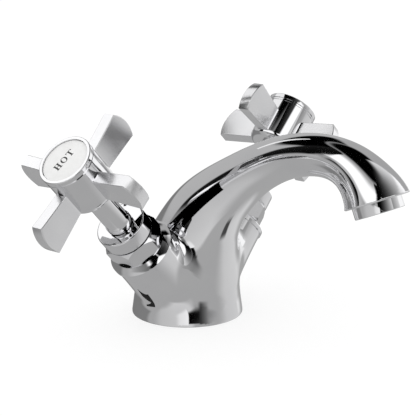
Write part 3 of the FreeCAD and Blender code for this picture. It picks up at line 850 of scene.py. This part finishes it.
def piece_from(name, patches, materials):
    """One mesh from patches of points, faces and corner normals; corners at the same place are joined."""
    starts = np.cumsum([0] + [len(patch[0]) for patch in patches])
    places, joined = np.unique(np.concatenate([patch[0] for patch in patches]), axis=0, return_inverse=True)
    joined = joined.ravel()
    corners = np.concatenate([joined[(patch[1] + start).ravel()] for patch, start in zip(patches, starts)])
    counts = np.concatenate([np.full(len(patch[1]), patch[1].shape[1]) for patch in patches])
    choice = np.concatenate([np.full(len(patch[1]), patch[3]) for patch in patches])
    mesh = bpy.data.meshes.new(name)
    mesh.vertices.add(len(places))
    mesh.vertices.foreach_set("co", (places * mm).ravel())
    mesh.loops.add(len(corners))
    mesh.loops.foreach_set("vertex_index", corners)
    mesh.polygons.add(len(counts))
    mesh.polygons.foreach_set("loop_start", np.cumsum(counts) - counts)
    mesh.polygons.foreach_set("material_index", choice)
    mesh.update(calc_edges=True)
    mesh.normals_split_custom_set(np.concatenate([patch[2].reshape(-1, 3) for patch in patches]))
    for material in materials:
        mesh.materials.append(material)
    piece = bpy.data.objects.new(name, mesh)
    bpy.context.scene.collection.objects.link(piece)
    return piece


def cut_skin(line, cuts):
    """The casting's net cut off at its planes, in triangles, and the points of the cut edges."""
    points, faces = body_net(line)
    mesh = bpy.data.meshes.new("casting net")
    mesh.from_pydata(points, [], faces.tolist())
    net = bmesh.new()
    net.from_mesh(mesh)
    for place, away, reach in cuts:
        nearby = [face for face in net.faces if (face.calc_center_median() - Vector(place)).length < reach]
        edges = dict.fromkeys(edge for face in nearby for edge in face.edges)
        corners = dict.fromkeys(corner for face in nearby for corner in face.verts)
        bmesh.ops.bisect_plane(
            net, geom=[*corners, *edges, *nearby], plane_co=place, plane_no=away, clear_outer=True
        )
    bmesh.ops.triangulate(net, faces=net.faces[:])
    net.verts.index_update()
    rim = {corner.index for edge in net.edges if edge.is_boundary for corner in edge.verts}
    net.to_mesh(mesh)
    net.free()
    points = np.empty(3 * len(mesh.vertices))
    mesh.vertices.foreach_get("co", points)
    faces = np.empty(len(mesh.loops), dtype=np.int32)
    mesh.loops.foreach_get("vertex_index", faces)
    bpy.data.meshes.remove(mesh)
    points = points.reshape(-1, 3)
    near = nearest_row(points[:, [0, 2]], line)
    slope = slope_at(points, near, line)
    normals = slope / np.linalg.norm(slope, axis=1)[:, None]
    return points, faces.reshape(-1, 3), normals, points[sorted(rim)]


def rim_of(rim, middle, away, reach):
    """The cut edge near one plane's middle, in order round it, and the directions out from the middle."""
    loop = rim[np.linalg.norm(rim - middle, axis=1) < reach]
    side = np.array([0.0, 1.0, 0.0])
    front = np.cross(side, away)
    offset = loop - middle
    loop = loop[np.argsort(np.arctan2(offset @ side, offset @ front))]
    outward = loop - middle
    outward -= np.outer(outward @ away, away)
    return loop, outward / np.linalg.norm(outward, axis=1)[:, None]


def rounded_rim(loop, outward, away, radius, lean):
    """Rings over a rounded edge: the normal swings from leaning back off the skin to straight away, and
    each point is moved by the radius times the change of its normal."""
    first = math.cos(lean) * outward - math.sin(lean) * away
    rings = []
    for turn in np.linspace(-lean, math.pi / 2, round_steps + 1):
        normals = math.cos(turn) * outward + math.sin(turn) * away
        rings.append((loop + radius * (normals - first), normals))
    return rings


def bands(rings):
    """The closed bands between each ring and the next; a ring is its points and their normals."""
    return [
        strip(here, there, here_normals, there_normals)
        for (here, here_normals), (there, there_normals) in zip(rings, rings[1:])
    ]


def foot_patches(rim, foot, down, reach):
    """The foot's rounded edge, its seal's groove, and the underside with the inlets' and the stud's holes."""
    loop, outward = rim_of(rim, foot, down, reach)
    rings = rounded_rim(loop, outward, down, foot_edge_round, 0)
    flat = np.tile(down, (len(loop), 1))
    outer_rim = seal_groove_outer * outward
    inner_rim = seal_groove_inner * outward
    roof = np.array([0.0, 0.0, seal_groove_height])
    patches = [
        *bands(rings),
        strip(rings[-1][0], outer_rim, flat, flat),
        strip(outer_rim, outer_rim + roof, -outward, -outward, drilled),
        strip(outer_rim + roof, inner_rim + roof, flat, flat, drilled),
        strip(inner_rim + roof, inner_rim, outward, outward, drilled),
    ]
    holes = (
        (valve_forward, -inlet_offset, inlet_radius),
        (valve_forward, inlet_offset, inlet_radius),
        (-stud_offset, 0.0, stud_radius),
    )
    depth = np.array([0.0, 0.0, fixing_depth])
    loops = [inner_rim]
    for forward, aside, radius in holes:
        ring, out = circle((forward, aside, 0.0), radius, hole_steps)
        loops.append(ring)
        patches.append(strip(ring, ring + depth, -out, -out, drilled))
        patches.append(fan(ring + depth, np.array([forward, aside, fixing_depth]), down, drilled))
    plate = np.concatenate(loops)
    triangles = np.array(tessellate_polygon([[Vector(point) for point in part] for part in loops]))
    patches.append(facing(plate, triangles, np.tile(down, (len(plate), 1)), drilled))
    return patches


def outlet_patches(rim, outlet, away, reach, flare):
    """The outlet's rounded edge and flat rim, and the bore behind it."""
    loop, outward = rim_of(rim, outlet, away, reach)
    rings = rounded_rim(loop, outward, away, outlet_edge_round, flare)
    flat = np.tile(away, (len(loop), 1))
    mouth = outlet + outlet_bore_radius * outward
    floor = mouth - outlet_bore_depth * away
    return [
        *bands(rings),
        strip(rings[-1][0], mouth, flat, flat),
        strip(mouth, floor, -outward, -outward, drilled),
        fan(floor, outlet - outlet_bore_depth * away, away, drilled),
    ]


def body_casting():
    """The casting's skin with rounded edges, the outlet's bore, and the holes and groove of the foot."""
    line = spout_centreline()
    droop = math.radians(outlet_droop)
    down = np.array([0.0, 0.0, -1.0])
    away = np.array([math.cos(droop), 0.0, -math.sin(droop)])
    foot = np.zeros(3)
    outlet = np.array([outlet_forward, 0.0, outlet_height])
    flare = math.atan((line[-1, 2] - line[-2, 2]) / math.dist(line[-1, :2], line[-2, :2]))
    foot_reach = 1.5 * foot_radius
    outlet_reach = 2.5 * outlet_radius
    cuts = (
        (foot - foot_edge_round * down, down, foot_reach),
        (outlet - outlet_edge_round * (1 + math.sin(flare)) * away, away, outlet_reach),
    )
    points, faces, normals, rim = cut_skin(line, cuts)
    patches = [
        (points, faces, normals[faces], outside),
        *foot_patches(rim, foot, down, foot_reach),
        *outlet_patches(rim, outlet, away, outlet_reach, flare),
    ]
    piece = piece_from("body_skin", patches, (finishes["chrome"], finishes["brass"]))
    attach(piece, "tap_body")
    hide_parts("body_casting")
    return piece


def upright(left, crown=True):
    """An upright stroke with a thin serif across its foot and, if it has a crown, across its top."""
    right = left + letter_stem
    low, high = letter_hair, 1 - letter_hair
    near, far = left - letter_serif, right + letter_serif
    head = [(right, high), (far, high), (far, 1), (near, 1), (near, high), (left, high)]
    plain_head = [(right, high), (left, high)]
    return [
        (near, 0), (far, 0), (far, low), (right, low),
        *(head if crown else plain_head),
        (left, low), (near, low),
    ]


def bow(middle, width, first, last):
    """A curved stroke between two half-ovals: x is the middle plus the half width times the cosine of the
    turn, y a half plus the half height times its sine; it is as thick as a stem at the side and as a hair at
    the top."""
    turn = np.radians(np.linspace(first, last, letter_steps))
    outer = np.stack([middle + width * np.cos(turn), 0.5 + 0.5 * np.sin(turn)], axis=1)
    inner = np.stack([
        middle + (width - letter_stem) * np.cos(turn),
        0.5 + (0.5 - letter_hair) * np.sin(turn),
    ], axis=1)
    return outer, inner


def letter_shapes(letter):
    """The width of a capital and the outlines of its strokes, as shares of its height; a stroke that holds
    a second outline has it as its hole."""
    foot = letter_serif
    end = letter_width - letter_serif
    if letter == "H":
        bar = [
            (foot + letter_stem, 0.5 - letter_hair / 2), (end - letter_stem, 0.5 - letter_hair / 2),
            (end - letter_stem, 0.5 + letter_hair / 2), (foot + letter_stem, 0.5 + letter_hair / 2),
        ]
        return [[upright(foot)], [upright(end - letter_stem)], [bar]]
    if letter == "O":
        outer, inner = bow(letter_width / 2, letter_width / 2, 0, 360 - 360 / letter_steps)
        return [[outer, inner]]
    if letter == "T":
        tip = 1 - letter_tip
        bar = [
            (0, tip), (letter_hair, tip), (letter_serif, 1 - letter_hair),
            (letter_width - letter_serif, 1 - letter_hair), (letter_width - letter_hair, tip),
            (letter_width, tip), (letter_width, 1), (0, 1),
        ]
        return [[upright((letter_width - letter_stem) / 2, crown=False)], [bar]]
    if letter == "L":
        bar = [
            (foot + letter_stem + letter_serif, 0), (letter_width, 0), (letter_width, letter_tip),
            (letter_width - letter_hair, letter_tip), (letter_width - letter_serif, letter_hair),
            (foot + letter_stem + letter_serif, letter_hair),
        ]
        return [[upright(foot)], [bar]]
    if letter == "D":
        outer, inner = bow(foot + letter_stem, letter_width - foot - letter_stem, -90, 90)
        return [[upright(foot)], [np.vstack([outer, inner[::-1]])]]
    if letter == "C":
        outer, inner = bow(letter_width / 2, letter_width / 2, letter_opening, 360 - letter_opening)
        tip = [
            (outer[0, 0] - letter_hair / 2, outer[0, 1]), (outer[0, 0] + letter_hair / 2, outer[0, 1]),
            (outer[0, 0] + letter_hair / 2, 1), (outer[0, 0] - letter_hair / 2, 1),
        ]
        return [[np.vstack([outer, inner[::-1]])], [tip]]
    raise ValueError(letter)


def prism_faces(outlines, low, high):
    """The faces of a prism over flat outlines: its floor, its lid and a wall along each edge. The floor's
    points are numbered from low and the lid's from high."""
    faces = []
    for corners in tessellate_polygon([[Vector((*point, 0)) for point in outline] for outline in outlines]):
        faces.append(tuple(low + corner for corner in corners))
        faces.append(tuple(high + corner for corner in corners[::-1]))
    begin = 0
    for outline in outlines:
        count = len(outline)
        for step in range(count):
            here = begin + step
            ahead = begin + (step + 1) % count
            faces.append((low + here, low + ahead, high + ahead, high + here))
        begin += count
    return faces


def lettering(name, word, side, body):
    """Printed capitals on an index disc: every stroke is a low prism that stands on the disc's face."""
    lean = math.radians(valve_lean)
    turn = math.radians(letter_turn)
    axis = np.array([0.0, side * math.sin(lean), math.cos(lean)])
    forward = np.array([1.0, 0.0, 0.0])
    across = np.cross(axis, forward)
    reading = -side * math.sin(turn) * forward + math.cos(turn) * across
    top = np.cross(axis, reading)
    disc = np.array([valve_forward, 0.0, valve_crossing_height]) + index_top * axis + letter_lift * top
    pitch = letter_width + letter_gap
    start = -(len(word) * pitch - letter_gap) / 2
    points, faces = [], []
    for place, letter in enumerate(word):
        for outlines in letter_shapes(letter):
            outlines = [np.array(outline) for outline in outlines]
            flat = np.concatenate(outlines) * letter_height
            flat += letter_height * np.array([start + place * pitch, -0.5])
            base = disc + flat[:, :1] * reading + flat[:, 1:] * top
            faces += prism_faces(outlines, len(points), len(points) + len(flat))
            points += [*(base - letter_sink * axis), *(base + letter_depth * axis)]
    mesh = bpy.data.meshes.new(name)
    mesh.from_pydata([Vector(point) * mm for point in points], [], faces)
    net = bmesh.new()
    net.from_mesh(mesh)
    bmesh.ops.recalc_face_normals(net, faces=net.faces[:])
    net.to_mesh(mesh)
    net.free()
    mesh.materials.append(finishes["print"])
    piece = bpy.data.objects.new(name, mesh)
    bpy.context.scene.collection.objects.link(piece)
    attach(piece, body)
    return piece


place_camera()
light_world()
lay_floor()
for number, values in enumerate(near_cards, start=1):
    hang_card(number, *values)
bpy.context.scene.view_settings.view_transform = "Standard"

effects = {
    "drift": drift_effect(),
    "hairlines": hairline_effect(),
    "relief": relief_effect(),
    "paddles": paddle_effect(),
}
finishes = {slot: finish(*values) for slot, values in finish_values.items()}
smoothing = smoothing_group()
for part in frame["record"]["subparts"]:
    node = nodes[part["node"]]
    node.data.materials.clear()
    shown = "chrome" if part["node"] in plated else part["material_slot"]
    node.data.materials.append(finishes[shown])
    node.modifiers.new("smooth by angle", "NODES").node_group = smoothing

body_casting()
lettering("hot_lettering", "HOT", -1, "hot_turning")
lettering("cold_lettering", "COLD", 1, "cold_turning")
